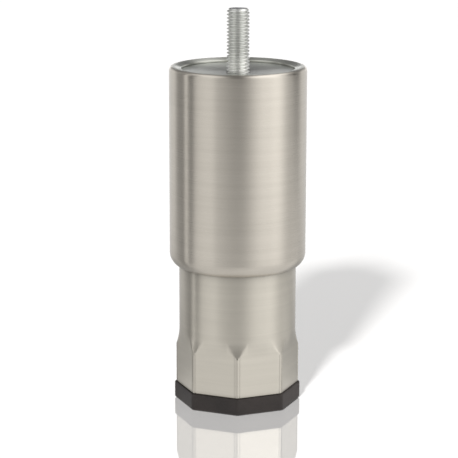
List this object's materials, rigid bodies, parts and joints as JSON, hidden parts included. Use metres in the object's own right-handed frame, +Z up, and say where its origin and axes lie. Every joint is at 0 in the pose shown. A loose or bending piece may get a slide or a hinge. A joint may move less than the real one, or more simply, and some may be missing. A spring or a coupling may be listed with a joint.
{
  "type": "height adjustable table leg",
  "caption": "Round steel leg with a mounting stud on top and an octagonal foot on a black pad; turning the foot screws it in or out of the sleeve to set the height.",
  "frame": {"origin": "centre of the sole on the floor, on the axis of the leg, at the pictured height setting", "axes": "+Z up along the leg and its stud; a corner of the octagon points along -Y, towards the camera of the picture, and +X is to its right"},
  "size_m": [0.06, 0.06, 0.175],
  "materials": {
    "sleeve_steel": "stainless, fine brushing around the tube",
    "foot_steel": "stainless, fine brushing around the tube, ground flats",
    "plate_steel": "pressed stainless sheet, satin",
    "zinc_steel": "bright zinc plated",
    "plain_steel": "turned steel, lightly oiled",
    "spring_steel": "oiled spring steel",
    "white_nylon": "natural nylon",
    "black_nylon": "black nylon, moulded",
    "seal_rubber": "black rubber",
    "pad_rubber": "hard brownish black rubber, matt"
  },
  "bodies": {
    "sleeve": {"outer_sleeve": "sleeve_steel", "top_plate": "plate_steel", "backing_washer": "plain_steel", "adjusting_spindle": "zinc_steel", "stop_washer": "zinc_steel", "stop_nut": "zinc_steel", "stop_nut_collar": "white_nylon", "mouth_bush": "black_nylon", "wiper_ring": "seal_rubber"},
    "guide": {"guide_ring": "white_nylon"},
    "foot": {"foot_shell": "foot_steel", "retaining_ring": "spring_steel", "nut_carrier": "plain_steel", "foot_nut": "zinc_steel", "carrier_pins": "spring_steel", "base_plate": "plain_steel", "base_pad": "pad_rubber", "pad_sleeves": "zinc_steel", "pad_screws": "zinc_steel"}
  },
  "joints": [
    {"name": "height_travel", "type": "slide", "parent": "sleeve", "child": "guide", "axis": [0, 0, 1], "range_m": [-0.02, 0.028]},
    {"name": "foot_turn", "type": "hinge", "parent": "guide", "child": "foot", "pos_m": [0, 0, 0.05], "axis": [0, 0, 1], "range_deg": [-3600, 5040]}
  ],
  "couplings": [
    {"joint": "height_travel", "follows": "foot_turn", "m_per_rad": 0.00031831}
  ]
}
